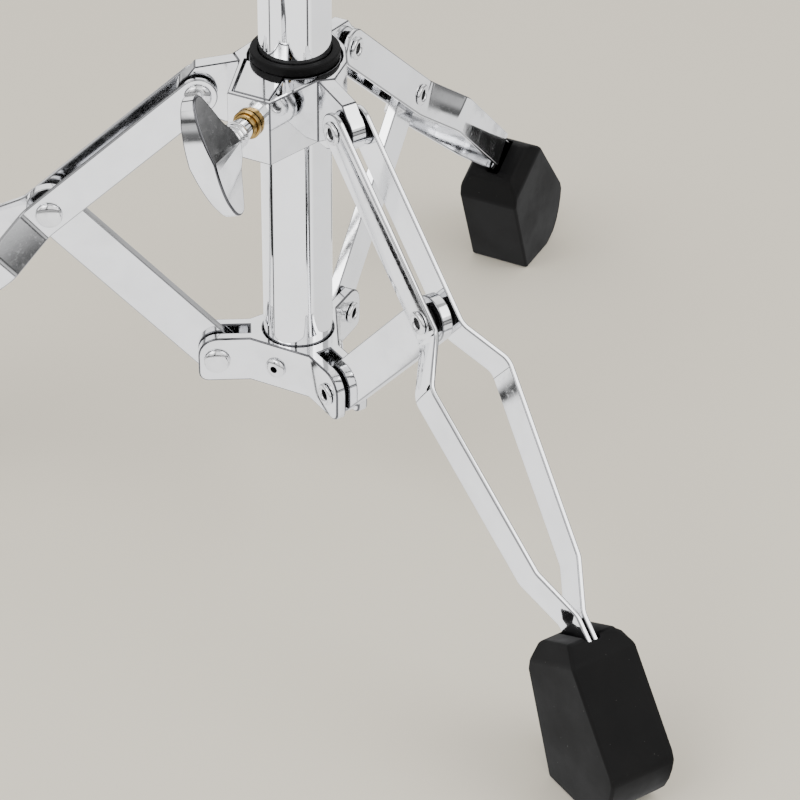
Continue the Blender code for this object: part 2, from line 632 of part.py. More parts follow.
def panel_rivet(name, azimuth, parent):
    """Blind rivet through a panel and the tube's wall; its head keeps the drawn mandrel's hole."""
    face = PANEL_DISTANCE + GAP
    inside = TUBE_RADIUS - TUBE_WALL - 1.0 * MM
    profile = [(0.0, inside), (PANEL_RIVET_SHANK, inside), (PANEL_RIVET_SHANK, face),
               (4.5 * MM, face), (4.1 * MM, face + 0.9 * MM), (2.6 * MM, face + 1.6 * MM),
               (1.5 * MM, face + 1.7 * MM), (1.5 * MM, face - 1.0 * MM), (0.0, face - 1.0 * MM)]
    turn = Matrix.Rotation(math.radians(azimuth), 4, "Z")
    aside = Matrix.Translation((0.0, PANEL_RIVET_OFFSET, 0.0))
    outward = Matrix.Rotation(math.pi / 2, 4, "Y")
    return piece(name, turned(profile, RIVET_STEPS), parent, "chrome", turn @ aside @ outward)


def clevis_rivets(parent):
    for side_name, azimuth in LEG_AZIMUTHS.items():
        turn = Matrix.Rotation(math.radians(azimuth), 4, "Z")
        place = turn @ Matrix.Translation((CLEVIS_PIVOT_RADIUS, 0.0, 0.0))
        rivet(side_name + "_clevis_rivet", EAR_OUTER, parent, place)


# ---------------------------------------------------------------- tube and clamp

def base_tube(stand, lower):
    bottom = PIVOT_HEIGHT - PIVOT_DROP + LOWER_BOTTOM + 0.6 * MM
    outer, inner = TUBE_RADIUS, TUBE_RADIUS - TUBE_WALL
    profile = [(inner, bottom), (outer, bottom), (outer, TUBE_TOP), (inner, TUBE_TOP)]
    tube = piece("base_tube", turned(profile, ROUND_STEPS, closed=True), stand, "chrome")
    for name, azimuth in PANEL_RIVETS.items():
        combine(tube, panel_hole("tube_" + name + "_hole", azimuth, lower), "DIFFERENCE")
    plug_outer = inner - GAP
    plug = [(0.0, bottom), (plug_outer, bottom), (plug_outer, bottom + 5.0 * MM),
            (0.0, bottom + 5.0 * MM)]
    piece("tube_end_plug", turned(plug, ROUND_STEPS), stand, "black_nylon")


def clamp_body(stand):
    """Split collar with two lugs, clamped round the tube's top end."""
    top = STAND_HEIGHT - 1.6 * MM
    body = piece("clamp_body", rod(CLAMP_RADIUS, CLAMP_BOTTOM, top, steps=ROUND_STEPS), stand, "chrome")
    lug = [(12.0 * MM, -8.5 * MM), (31.0 * MM, -8.5 * MM), (31.0 * MM, 8.5 * MM), (12.0 * MM, 8.5 * MM)]
    turn = Matrix.Rotation(math.radians(LOCK_AZIMUTH), 4, "Z")
    lugs = prism(lug, CLAMP_BOTTOM + 6.0 * MM, top - 6.0 * MM)
    combine(body, piece("clamp_lugs", lugs, stand, matrix=turn), "UNION")
    bore = rod(TUBE_RADIUS + GAP, 0.4, 0.7, steps=ROUND_STEPS)
    combine(body, piece("clamp_bore", bore, stand), "DIFFERENCE")
    half = CLAMP_SLIT / 2
    slit = prism([(5.0 * MM, -half), (40.0 * MM, -half), (40.0 * MM, half), (5.0 * MM, half)], 0.4, 0.7)
    combine(body, piece("clamp_slit", slit, stand, matrix=turn), "DIFFERENCE")
    across = clamp_screw_frame(stand)
    hole = rod(SCREW_RADIUS + GAP, -0.02, 0.02)
    combine(body, piece("clamp_screw_hole", hole, across), "DIFFERENCE")
    return across


def clamp_screw_frame(stand):
    """Frame on the clamp's screw: Z runs across the lugs."""
    turn = Matrix.Rotation(math.radians(LOCK_AZIMUTH), 4, "Z")
    height = (CLAMP_BOTTOM + STAND_HEIGHT - 1.6 * MM) / 2
    place = Matrix.Translation((25.0 * MM, 0.0, height)) @ Matrix.Rotation(-math.pi / 2, 4, "X")
    return empty("clamp_screw_axis", stand, turn @ place)


def clamp(stand):
    """Tube clamp: split collar, nylon bush for the upper tube, screw, wing and nut."""
    across = clamp_body(stand)
    inner = UPPER_TUBE_RADIUS + 0.1 * MM
    low = TUBE_TOP + GAP
    seat = STAND_HEIGHT - 1.6 * MM + GAP
    bush = [(inner, low), (TUBE_RADIUS, low), (TUBE_RADIUS, seat), (CLAMP_RADIUS - 1.2 * MM, seat),
            (CLAMP_RADIUS - 1.2 * MM, STAND_HEIGHT), (inner, STAND_HEIGHT)]
    piece("clamp_bush", turned(bush, ROUND_STEPS, closed=True), stand, "black_nylon")
    face = 8.5 * MM + GAP
    base = face + 0.4 * MM
    screw = turned(screw_profile(-15.5 * MM, base + 12.0 * MM), 16)
    piece("clamp_screw", screw, across, "chrome")
    wing("clamp_wing", base, across, Matrix.Rotation(math.radians(35.0), 4, "Z"), 12.0 * MM)
    hexagon = [polar(5.8 * MM, 60.0 * k) for k in range(6)]
    nut = piece("clamp_nut", prism(hexagon, -face - 4.8 * MM, -face), across, "chrome", smooth=0)
    bore = rod(SCREW_RADIUS + GAP, -0.03, 0.03)
    combine(nut, piece("clamp_nut_bore", bore, across), "DIFFERENCE")


# ---------------------------------------------------------------- assembly

def centre_on_floor(stand):
    """Move the stand so that the origin is the middle of its box, on the floor."""
    bpy.context.view_layer.update()
    corners = [obj.matrix_world @ Vector(corner) for obj in bpy.data.objects
               if obj.type == "MESH" and not obj.hide_render for corner in obj.bound_box]
    for axis in (0, 1):
        low = min(corner[axis] for corner in corners)
        high = max(corner[axis] for corner in corners)
        stand.location[axis] -= (low + high) / 2


def main():
    clear_scene()
    stand = empty("stand")
    upper = empty("upper_pivots", stand, Matrix.Translation((0.0, 0.0, PIVOT_HEIGHT)))
    lower = empty("lower_pivots", stand, Matrix.Translation((0.0, 0.0, PIVOT_HEIGHT - PIVOT_DROP)))
    base_tube(stand, lower)
    lower_hub(lower)
    clevis_rivets(lower)
    for name, azimuth in PANEL_RIVETS.items():
        panel_rivet(name, azimuth, lower)
    hub_frame(upper)
    hub_plate(upper)
    hub_bushing(upper)
    hub_lock(upper)
    for side_name, azimuth in LEG_AZIMUTHS.items():
        leg(side_name, azimuth, upper)
        brace(side_name, azimuth, lower)
    clamp(stand)
    centre_on_floor(stand)


main()
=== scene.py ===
import json
import math

import bmesh
import bpy
from mathutils import Matrix, Vector
from mathutils.bvhtree import BVHTree


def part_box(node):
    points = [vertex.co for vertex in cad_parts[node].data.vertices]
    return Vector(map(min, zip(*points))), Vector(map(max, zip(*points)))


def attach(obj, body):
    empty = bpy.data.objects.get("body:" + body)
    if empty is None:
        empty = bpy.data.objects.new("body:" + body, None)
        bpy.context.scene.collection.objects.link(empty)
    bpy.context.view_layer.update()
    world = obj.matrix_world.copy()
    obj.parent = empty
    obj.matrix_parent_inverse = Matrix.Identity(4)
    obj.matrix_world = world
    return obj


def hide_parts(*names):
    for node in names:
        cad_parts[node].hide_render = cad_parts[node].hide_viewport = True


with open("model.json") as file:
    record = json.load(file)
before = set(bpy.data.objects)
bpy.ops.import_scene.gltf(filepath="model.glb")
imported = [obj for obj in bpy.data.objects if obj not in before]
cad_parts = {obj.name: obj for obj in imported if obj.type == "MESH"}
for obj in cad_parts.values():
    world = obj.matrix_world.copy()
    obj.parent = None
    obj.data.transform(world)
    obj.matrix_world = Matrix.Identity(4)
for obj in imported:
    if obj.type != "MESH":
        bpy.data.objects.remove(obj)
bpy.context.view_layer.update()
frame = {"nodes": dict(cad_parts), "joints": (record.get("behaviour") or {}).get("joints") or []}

mm = 0.001
nodes = frame["nodes"]
joints = {joint["name"]: joint for joint in frame["joints"]}
sides = ("left", "front", "rear")


# Modelling helpers. Each piece is modelled at the origin, then copied to its places.

def startClean():
    if bpy.context.object and bpy.context.object.mode != "OBJECT":
        bpy.ops.object.mode_set(mode="OBJECT")
    bpy.ops.object.select_all(action="DESELECT")


def makeActive(piece):
    startClean()
    piece.select_set(True)
    bpy.context.view_layer.objects.active = piece


def pick(kind, test):
    bpy.ops.mesh.select_mode(type=kind)
    bpy.ops.mesh.select_all(action="DESELECT")
    mesh = bpy.context.object.data
    shape = bmesh.from_edit_mesh(mesh)
    for item in {"VERT": shape.verts, "EDGE": shape.edges, "FACE": shape.faces}[kind]:
        item.select_set(bool(test(item)))
    shape.select_flush_mode()
    bmesh.update_edit_mesh(mesh)


def drawLine(name, points):
    # a chain of points, drawn by extruding its last vertex; stays in edit mode
    startClean()
    bpy.ops.mesh.primitive_plane_add(size=1 * mm)
    piece = bpy.context.object
    piece.name = name
    bpy.ops.object.mode_set(mode="EDIT")
    bpy.ops.mesh.select_mode(type="VERT")
    bpy.ops.mesh.select_all(action="SELECT")
    bpy.ops.mesh.merge(type="CENTER")
    bpy.ops.transform.translate(value=points[0])
    for before, after in zip(points, points[1:]):
        step = Vector(after) - Vector(before)
        bpy.ops.mesh.extrude_region_move(TRANSFORM_OT_translate={"value": step})
    return piece


def turnPiece(name, profile, steps=64, angle=35):
    # lathe work: the profile's (radius, height) points in mm, spun about Z
    piece = drawLine(name, [(r * mm, 0.0, z * mm) for r, z in profile])
    bpy.ops.mesh.select_all(action="SELECT")
    bpy.ops.mesh.spin(steps=steps, angle=math.tau, center=(0, 0, 0), axis=(0, 0, 1))
    bpy.ops.mesh.select_all(action="SELECT")
    bpy.ops.mesh.remove_doubles(threshold=0.002 * mm)
    bpy.ops.mesh.normals_make_consistent(inside=False)
    bpy.ops.object.mode_set(mode="OBJECT")
    bpy.ops.object.shade_smooth_by_angle(angle=math.radians(angle))
    return piece


def outlinePiece(name, outline, halfWidth):
    # a closed outline of (x, z) points in mm, filled and extruded across Y; stays in edit mode
    piece = drawLine(name, [(x * mm, -halfWidth * mm, z * mm) for x, z in outline])
    bpy.ops.mesh.select_all(action="SELECT")
    bpy.ops.mesh.edge_face_add()
    across = (0, 2 * halfWidth * mm, 0)
    bpy.ops.mesh.extrude_region_move(TRANSFORM_OT_translate={"value": across})
    bpy.ops.mesh.select_all(action="SELECT")
    bpy.ops.mesh.normals_make_consistent(inside=False)
    return piece


def softenEdges(piece, width, segments=3, limit=30, smooth=40, clamp=True):
    makeActive(piece)
    bevel = piece.modifiers.new("softEdges", "BEVEL")
    bevel.width = width * mm
    bevel.segments = segments
    bevel.limit_method = "ANGLE"
    bevel.angle_limit = math.radians(limit)
    bevel.use_clamp_overlap = clamp
    piece.data.materials.clear()
    piece.data.materials.append(None)
    piece.data.materials.append(None)
    bevel.material = 1
    bpy.ops.object.modifier_apply(modifier=bevel.name)
    # the faces made by the bevel keep a mark, where the chrome paints a little shade: a slightly darker
    # colour standing in for the dark line reflected along polished edges
    rim = piece.data.attributes.get("rim") or piece.data.attributes.new("rim", "FLOAT", "FACE")
    for k, face in enumerate(piece.data.polygons):
        rim.data[k].value = max(rim.data[k].value, float(face.material_index))
        face.material_index = 0
    return evenShading(piece, smooth)


def evenShading(piece, smooth):
    # wide faces keep their own direction, so only the soft edges between them bend the light
    makeActive(piece)
    bpy.ops.object.shade_smooth_by_angle(angle=math.radians(smooth))
    weighted = piece.modifiers.new("evenShading", "WEIGHTED_NORMAL")
    weighted.keep_sharp = True
    weighted.weight = 60
    bpy.ops.object.modifier_apply(modifier=weighted.name)
    return piece


def cutOrJoin(piece, tool, operation):
    makeActive(piece)
    joint = piece.modifiers.new(operation.lower(), "BOOLEAN")
    joint.operation = operation
    joint.solver = "EXACT"
    joint.object = tool
    bpy.ops.object.modifier_apply(modifier=joint.name)
    bpy.data.objects.remove(tool)
    return piece


def paintShadeInHollow(piece, radius, low, high):
    # marks the inside of a hollow, where the material paints shade: a dark colour and a duller finish
    # standing in for the shade deep in the hole
    mark = piece.data.attributes.new("hollow", "FLOAT", "POINT")
    for k, vertex in enumerate(piece.data.vertices):
        inside = math.hypot(vertex.co.x, vertex.co.y) < radius * mm and low * mm < vertex.co.z < high * mm
        mark.data[k].value = 1.0 if inside else 0.0
    return piece


def drillHole(piece, radius, depth, sides, turn=(0, 0, 0)):
    startClean()
    bpy.ops.mesh.primitive_cylinder_add(vertices=sides, radius=radius * mm, depth=depth * mm, rotation=turn)
    drill = bpy.context.object
    bpy.ops.object.transform_apply(location=True, rotation=True, scale=True)
    return cutOrJoin(piece, drill, "DIFFERENCE")


def copyTo(piece, name, place):
    # a copy with its own mesh, baked into its place
    twin = piece.copy()
    twin.data = piece.data.copy()
    twin.name = name
    bpy.context.scene.collection.objects.link(twin)
    twin.data.transform(place)
    if place.determinant() < 0:
        twin.data.flip_normals()
    return twin


def dress(piece, body, replaced, material):
    piece.data.materials.clear()
    piece.data.materials.append(material)
    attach(piece, body)
    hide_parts(replaced)


def nodeCopy(node):
    # the CAD solid's own shape as one clean mesh, ready for soft edges
    twin = nodes[node].copy()
    twin.data = nodes[node].data.copy()
    twin.name = node + "Soft"
    twin.parent = None
    for key in list(twin.keys()):
        del twin[key]
    bpy.context.scene.collection.objects.link(twin)
    makeActive(twin)
    bpy.ops.object.mode_set(mode="EDIT")
    bpy.ops.mesh.select_mode(type="VERT")
    bpy.ops.mesh.select_all(action="SELECT")
    bpy.ops.mesh.remove_doubles(threshold=0.06 * mm)
    bpy.ops.mesh.customdata_custom_splitnormals_clear()
    bpy.ops.mesh.select_all(action="SELECT")
    bpy.ops.mesh.dissolve_limited(angle_limit=math.radians(1.5), delimit=set())
    bpy.ops.object.mode_set(mode="OBJECT")
    return twin


def pullStraysBack(piece, node, reach):
    # an unclamped bevel throws a vertex far out where two edges are almost in line
    solid = bmesh.new()
    solid.from_mesh(nodes[node].data)
    surface = BVHTree.FromBMesh(solid)
    for vertex in piece.data.vertices:
        nearest, normal, face, distance = surface.find_nearest(vertex.co)
        if distance > reach * mm:
            vertex.co = nearest
    solid.free()


def softPath(corners, radius, steps):
    # a bent line with its inner corners rounded
    path = [Vector(corners[0])]
    for before, corner, after in zip(corners, corners[1:], corners[2:]):
        corner = Vector(corner)
        back = (Vector(before) - corner).normalized()
        ahead = (Vector(after) - corner).normalized()
        turn = math.pi - back.angle(ahead)
        centre = corner + (back + ahead).normalized() * radius / math.cos(turn / 2)
        first = corner + back * radius * math.tan(turn / 2) - centre
        sign = 1 if back.x * ahead.y - back.y * ahead.x < 0 else -1
        for k in range(steps + 1):
            path.append(centre + Matrix.Rotation(sign * turn * k / steps, 2) @ first)
    return path + [Vector(corners[-1])]


def throughPoints(points, steps):
    # a smooth curve through all the points
    path = []
    for k in range(len(points) - 1):
        a, b = Vector(points[max(k - 1, 0)]), Vector(points[k])
        c, d = Vector(points[k + 1]), Vector(points[min(k + 2, len(points) - 1)])
        for n in range(steps):
            t = n / steps
            path.append(0.5 * (2 * b + (c - a) * t + (2 * a - 5 * b + 4 * c - d) * t * t
                               + (3 * b - 3 * c + d - a) * t ** 3))
    return path + [Vector(points[-1])]


# Places, read from the frame

tubeLow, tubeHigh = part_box("base_tube")
tubeMiddle = (tubeLow + tubeHigh) / 2
onTube = Matrix.Translation((tubeMiddle.x, tubeMiddle.y, 0.0))
legSlope = math.radians(40.748)
braceRise = math.radians(48.065)
elbowAlongLeg = 80.585
braceLength = 97.862


def azimuthOf(joint):
    axis = joints[joint]["axis"]
    return math.atan2(-axis[0], axis[1])


def legPlace(side):
    joint = side + "_leg_hinge"
    return (Matrix.Translation(joints[joint]["pos_m"]) @ Matrix.Rotation(azimuthOf(joint), 4, "Z")
            @ Matrix.Rotation(legSlope, 4, "Y"))


def bracePlace(side):
    joint = side + "_brace_hinge"
    return (Matrix.Translation(joints[joint]["pos_m"]) @ Matrix.Rotation(azimuthOf(joint), 4, "Z")
            @ Matrix.Rotation(-braceRise, 4, "Y"))


def screwPlace(joint):
    # Z runs out along the screw and X points down
    axis = Vector(joints[joint]["axis"])
    start = Vector(joints[joint]["pos_m"])
    down = Vector((0, 0, -1))
    across = axis.cross(down)
    turn = Matrix((down, across, axis)).transposed().to_4x4()
    return Matrix.Translation(start) @ turn


rivetSide = Matrix.Rotation(-math.pi / 2, 4, "X")       # a rivet's Z becomes the leg's Y
atElbow = Matrix.Translation((elbowAlongLeg * mm, 0, 0))


# Materials

class Wire:
    # a node's output; arithmetic on it adds Math nodes
    def __init__(self, board, socket):
        self.board, self.socket = board, socket

    def __add__(self, other):
        return self.board.node("ShaderNodeMath", {"operation": "ADD"}, {0: self, 1: other})

    def __mul__(self, other):
        return self.board.node("ShaderNodeMath", {"operation": "MULTIPLY"}, {0: self, 1: other})

    __radd__ = __add__
    __rmul__ = __mul__


class Board:
    # a node tree with one method that adds any node
    def __init__(self, tree):
        self.tree = tree

    def node(self, kind, settings=None, values=None, output=0):
        made = self.tree.nodes.new(kind)
        for name, value in (settings or {}).items():
            if name == "stops":
                self.setStops(made.color_ramp, value)
            else:
                setattr(made, name, value)
        for name, value in (values or {}).items():
            self.feed(made.inputs[name], value)
        return Wire(self, made.outputs[output])

    def feed(self, socket, value):
        if isinstance(value, Wire):
            self.tree.links.new(value.socket, socket)
        else:
            socket.default_value = value

    def setStops(self, ramp, stops):
        while len(ramp.elements) < len(stops):
            ramp.elements.new(1.0)
        for element, (position, level) in zip(ramp.elements, stops):
            element.position = position
            element.color = (*level, 1) if isinstance(level, tuple) else (level, level, level, 1)

    def ramp(self, factor, stops):
        return self.node("ShaderNodeValToRGB", {"stops": stops}, {"Fac": factor})

    def noise(self, place, scale, detail=3.0, roughness=0.5):
        return self.node("ShaderNodeTexNoise", None,
                         {"Vector": place, "Scale": scale, "Detail": detail, "Roughness": roughness})

    def blendColours(self, factor, first, second):
        made = self.tree.nodes.new("ShaderNodeMix")
        made.data_type = "RGBA"
        self.feed(made.inputs[0], factor)
        self.feed(made.inputs[6], first)
        self.feed(made.inputs[7], second)
        return Wire(self, made.outputs[2])


def newMaterial(name):
    material = bpy.data.materials.new(name)
    material.use_nodes = True
    board = Board(material.node_tree)
    shader = material.node_tree.nodes["Principled BSDF"]
    return material, board, shader


def stretched(board, scale, turn=(0, 0, 0), shift=(0, 0, 0)):
    # Object coordinates, moved to the piece's own axis and stretched
    place = board.node("ShaderNodeTexCoord", output="Object")
    centred = board.node("ShaderNodeMapping", {"vector_type": "POINT"},
                         {"Vector": place, "Location": tuple(-s for s in shift)})
    return board.node("ShaderNodeMapping", None, {"Vector": centred, "Rotation": turn, "Scale": scale})


# the rim and hollow colours are painted shade, laid on bevelled edges and inside holes; the speck colour is
# dust
shades = {"rim": (0.06, 0.06, 0.065, 1), "speck": (0.30, 0.29, 0.27, 1), "hollow": (0.05, 0.05, 0.05, 1),
          "hollowRoughness": 0.3, "bumpStrength": 0.6, "bumpDistance": 0.02}


def chromeMaterial(name, look):
    # polished plate: faint waves, smudges that dull it, hair scratches, and painted shade: darker bevelled
    # rims and dark hollows
    material, board, shader = newMaterial(name)
    place = board.node("ShaderNodeTexCoord", output="Object")
    smudge = board.ramp(board.noise(place, look["smudgeScale"], 4, 0.6), [(0.42, 0.0), (0.68, 1.0)])
    specks = board.ramp(board.noise(place, 900, 2, 0.7), [(0.70, 0.0), (0.76, 1.0)])
    grain = board.noise(stretched(board, look["scratchStretch"]), look["scratchScale"], 4, 0.65)
    scratches = board.ramp(grain, [(0.57, 0.0), (0.62, 1.0)])
    # painted shade: the marked hollows get a dark colour and more roughness
    hollow = board.node("ShaderNodeAttribute", {"attribute_name": "hollow"}, None, 2)
    colour = board.blendColours(smudge * 0.5, look["colour"], look["dullColour"])
    # painted shade: the marked bevels are blended towards a dark colour in place of dark reflected edge
    # lines
    rim = board.node("ShaderNodeAttribute", {"attribute_name": "rim"}, None, 2)
    colour = board.blendColours(rim * look.get("rim", 0.0), colour, shades["rim"])
    worn = board.blendColours(specks * look["specks"], colour, shades["speck"])
    board.feed(shader.inputs["Base Color"], board.blendColours(hollow, worn, shades["hollow"]))
    board.feed(shader.inputs["Roughness"], look["roughness"] + smudge * look["smudgeRoughness"]
               + scratches * look["scratchRoughness"] + hollow * shades["hollowRoughness"])
    shader.inputs["Metallic"].default_value = 1.0
    waves = board.noise(place, look["waveScale"], 2, 0.5)
    height = waves * look["waveHeight"] + grain * look["scratchHeight"]
    bump = board.node("ShaderNodeBump", None, {"Strength": shades["bumpStrength"],
                                               "Distance": shades["bumpDistance"] * mm, "Height": height})
    board.feed(shader.inputs["Normal"], bump)
    return material


chromeLooks = {
    "tubeChrome": {"colour": (0.90, 0.905, 0.92, 1), "dullColour": (0.80, 0.80, 0.80, 1),
                   "roughness": 0.035, "smudgeScale": 38, "smudgeRoughness": 0.05,
                   "scratchStretch": (1, 1, 0.06), "scratchScale": 900, "scratchRoughness": 0.03,
                   "specks": 0.35, "waveScale": 35, "waveHeight": 0.6, "scratchHeight": 0.08},
    "stripChrome": {"colour": (0.88, 0.885, 0.90, 1), "dullColour": (0.74, 0.74, 0.75, 1),
                    "roughness": 0.05, "smudgeScale": 55, "smudgeRoughness": 0.09,
                    "scratchStretch": (1, 1, 1), "scratchScale": 700, "scratchRoughness": 0.05,
                    "specks": 0.5, "rim": 0.7, "waveScale": 60, "waveHeight": 1.0, "scratchHeight": 0.15},
    "castChrome": {"colour": (0.87, 0.875, 0.89, 1), "dullColour": (0.72, 0.72, 0.72, 1),
                   "roughness": 0.055, "smudgeScale": 70, "smudgeRoughness": 0.07,
                   "scratchStretch": (1, 1, 1), "scratchScale": 500, "scratchRoughness": 0.04,
                   "specks": 0.5, "rim": 0.95, "waveScale": 110, "waveHeight": 1.6, "scratchHeight": 0.15},
    "rivetChrome": {"colour": (0.82, 0.82, 0.83, 1), "dullColour": (0.62, 0.62, 0.62, 1),
                    "roughness": 0.10, "smudgeScale": 160, "smudgeRoughness": 0.14,
                    "scratchStretch": (1, 1, 1), "scratchScale": 1200, "scratchRoughness": 0.06,
                    "specks": 0.6, "waveScale": 260, "waveHeight": 2.0, "scratchHeight": 0.3},
}
chrome = {name: chromeMaterial(name, look) for name, look in chromeLooks.items()}


def rubberMaterial():
    # moulded rubber: fine grain, slightly greyer bloom, and a few dust specks
    look = {"dark": (0.0036, 0.0036, 0.0038, 1), "bloom": (0.0075, 0.0075, 0.0078, 1),
            "dust": (0.09, 0.09, 0.088, 1), "roughness": 0.52, "bloomRoughness": 0.16, "specular": 0.10}
    material, board, shader = newMaterial("footRubber")
    place = board.node("ShaderNodeTexCoord", output="Object")
    bloom = board.ramp(board.noise(place, 45, 5, 0.6), [(0.38, 0.0), (0.70, 1.0)])
    dust = board.ramp(board.noise(place, 1100, 1, 0.4), [(0.79, 0.0), (0.81, 1.0)])
    colour = board.blendColours(bloom, look["dark"], look["bloom"])
    board.feed(shader.inputs["Base Color"], board.blendColours(dust * 0.6, colour, look["dust"]))
    board.feed(shader.inputs["Roughness"], look["roughness"] + bloom * look["bloomRoughness"])
    shader.inputs["Specular IOR Level"].default_value = look["specular"]
    grain = board.noise(place, 2600, 3, 0.6) + board.noise(place, 300, 2, 0.5) * 0.8
    bump = board.node("ShaderNodeBump", None, {"Strength": 0.35, "Distance": 0.06 * mm, "Height": grain})
    board.feed(shader.inputs["Normal"], bump)
    return material


def nylonMaterial():
    # satin black nylon with faint flow marks
    look = {"dark": (0.0025, 0.0025, 0.0027, 1), "light": (0.006, 0.006, 0.0063, 1), "roughness": 0.48,
            "flowRoughness": 0.20, "specular": 0.10}
    material, board, shader = newMaterial("blackNylon")
    place = board.node("ShaderNodeTexCoord", output="Object")
    flow = board.noise(stretched(board, (1, 1, 5)), 120, 4, 0.6)
    colour = board.blendColours(flow, look["dark"], look["light"])
    board.feed(shader.inputs["Base Color"], colour)
    board.feed(shader.inputs["Roughness"], look["roughness"] + flow * look["flowRoughness"])
    shader.inputs["Specular IOR Level"].default_value = look["specular"]
    grain = board.noise(place, 1800, 2, 0.5) * 0.5 + flow
    bump = board.node("ShaderNodeBump", None, {"Strength": 0.3, "Distance": 0.05 * mm, "Height": grain})
    board.feed(shader.inputs["Normal"], bump)
    return material


def brassMaterial():
    # turned brass: rings cut by the tool, and brown tarnish in patches
    look = {"bright": (0.37, 0.245, 0.085, 1), "tarnish": (0.15, 0.09, 0.028, 1), "roughness": 0.16,
            "tarnishRoughness": 0.18}
    material, board, shader = newMaterial("turnedBrass")
    place = board.node("ShaderNodeTexCoord", output="Object")
    tarnish = board.ramp(board.noise(place, 330, 4, 0.65), [(0.40, 0.0), (0.72, 1.0)])
    colour = board.blendColours(tarnish, look["bright"], look["tarnish"])
    board.feed(shader.inputs["Base Color"], colour)
    board.feed(shader.inputs["Roughness"], look["roughness"] + tarnish * look["tarnishRoughness"])
    shader.inputs["Metallic"].default_value = 1.0
    along = stretched(board, (14, 24, 1))
    rings = board.noise(along, 160, 3, 0.6)
    bump = board.node("ShaderNodeBump", None, {"Strength": 0.25, "Distance": 0.03 * mm, "Height": rings})
    board.feed(shader.inputs["Normal"], bump)
    return material


rubber = rubberMaterial()
nylon = nylonMaterial()
brass = brassMaterial()
print("materials made")


# Leg strips: a flat bar with a round end, bent twice outwards and back in to the foot

strip = {"halfWidth": 7.8, "halfThickness": 1.05, "offset": 5.85, "length": 225.0, "bendRadius": 9.0,
         "edge": 0.55, "firstBend": elbowAlongLeg + 7.5, "secondBend": elbowAlongLeg + 26.5, "splay": 17.7,
         "thirdBend": 186.0, "thirdOffset": 9.6, "tipBend": 206.0, "tip": 1.4}


def modelStrip():
    corners = [(0.0, strip["offset"]), (strip["firstBend"], strip["offset"]),
               (strip["secondBend"], strip["splay"]), (strip["thirdBend"], strip["thirdOffset"]),
               (strip["tipBend"], strip["tip"]), (strip["length"], strip["tip"])]
    path = softPath(corners, strip["bendRadius"], 8)
    path[0] = Vector((-strip["halfWidth"], strip["offset"]))
    inner, outer = [], []
    for k, point in enumerate(path):
        run = (path[min(k + 1, len(path) - 1)] - path[max(k - 1, 0)]).normalized()
        side = Vector((-run.y, run.x)) * strip["halfThickness"]
        outer.append(point + side)
        inner.append(point - side)
    loop = outer + inner[::-1]
    low = -strip["halfWidth"]
    piece = drawLine("legStrip", [(x * mm, y * mm, low * mm) for x, y in loop])
    bpy.ops.mesh.select_all(action="SELECT")
    bpy.ops.mesh.edge_face_add()
    up = (0, 0, 2 * strip["halfWidth"] * mm)
    bpy.ops.mesh.extrude_region_move(TRANSFORM_OT_translate={"value": up})
    bpy.ops.mesh.select_all(action="SELECT")
    bpy.ops.mesh.normals_make_consistent(inside=False)
    end = -strip["halfWidth"] * mm + 0.01 * mm
    pick("EDGE", lambda e: all(v.co.x < end for v in e.verts)
         and abs(e.verts[0].co.z - e.verts[1].co.z) < 0.1 * mm)
    bpy.ops.mesh.bevel(offset=(strip["halfWidth"] - 0.02) * mm, segments=12, profile=0.5,
                       offset_type="OFFSET", clamp_overlap=False)
    bpy.ops.object.mode_set(mode="OBJECT")
    return softenEdges(piece, strip["edge"], 3, 50, 35)


master = modelStrip()
mirrored = Matrix.Scale(-1, 4, (0, 1, 0))
for side in sides:
    for word, turn in (("dome", Matrix.Identity(4)), ("eyelet", mirrored)):
        name = side + "Strip" + word.capitalize() + "Side"
        dress(copyTo(master, name, legPlace(side) @ turn), side + "_leg",
              side + "_leg_strip_" + word + "_side", chrome["stripChrome"])
bpy.data.objects.remove(master)
print("leg strips made")


# Braces: thick flat bars with round ends

brace = {"halfWidth": 9.4, "thickness": 4.6, "edge": 0.5, "hole": 3.25}


def modelBrace():
    startClean()
    reach = braceLength + 2 * brace["halfWidth"]
    bpy.ops.mesh.primitive_cube_add(size=1, location=(braceLength / 2 * mm, 0, 0),
                                    scale=(reach * mm, brace["thickness"] * mm, 2 * brace["halfWidth"] * mm))
    piece = bpy.context.object
    bpy.ops.object.transform_apply(location=True, rotation=True, scale=True)
    bpy.ops.object.mode_set(mode="EDIT")
    pick("EDGE", lambda e: abs(e.verts[0].co.y - e.verts[1].co.y) > 1 * mm)
    bpy.ops.mesh.bevel(offset=(brace["halfWidth"] - 0.02) * mm, segments=14, profile=0.5,
                       offset_type="OFFSET", clamp_overlap=False)
    bpy.ops.object.mode_set(mode="OBJECT")
    softenEdges(piece, brace["edge"], 3, 50, 35)
    drillHole(piece, brace["hole"], depth=20, sides=48, turn=(math.pi / 2, 0, 0))
    return evenShading(piece, 35)


master = modelBrace()
for side in sides:
    dress(copyTo(master, side + "Brace", bracePlace(side)), side + "_brace",
          side + "_brace", chrome["stripChrome"])
bpy.data.objects.remove(master)
print("braces made")


# Rivets: a domed head on one side, a rolled hollow end on the other

rivet = {"head": 5.5, "headHeight": 2.1, "rolled": 4.7, "rolledHeight": 1.35, "hollow": 2.3,
         "shank": 2.9, "gap": 0.35, "throughDepth": 4.0, "elbowDepth": 0.8, "clevisFace": 7.5}


def domeProfile(face):
    base = face + rivet["gap"]
    r, h = rivet["head"], rivet["headHeight"]
    crown = [(r * math.cos(a), base + 0.35 + (h - 0.35) * math.sin(a))
             for a in (math.radians(90 - 10 * k) for k in range(10))]
    crown[0] = (0.0, base + h)
    return crown + [(r, base + 0.12), (r - 0.12, base), (rivet["shank"], base)]


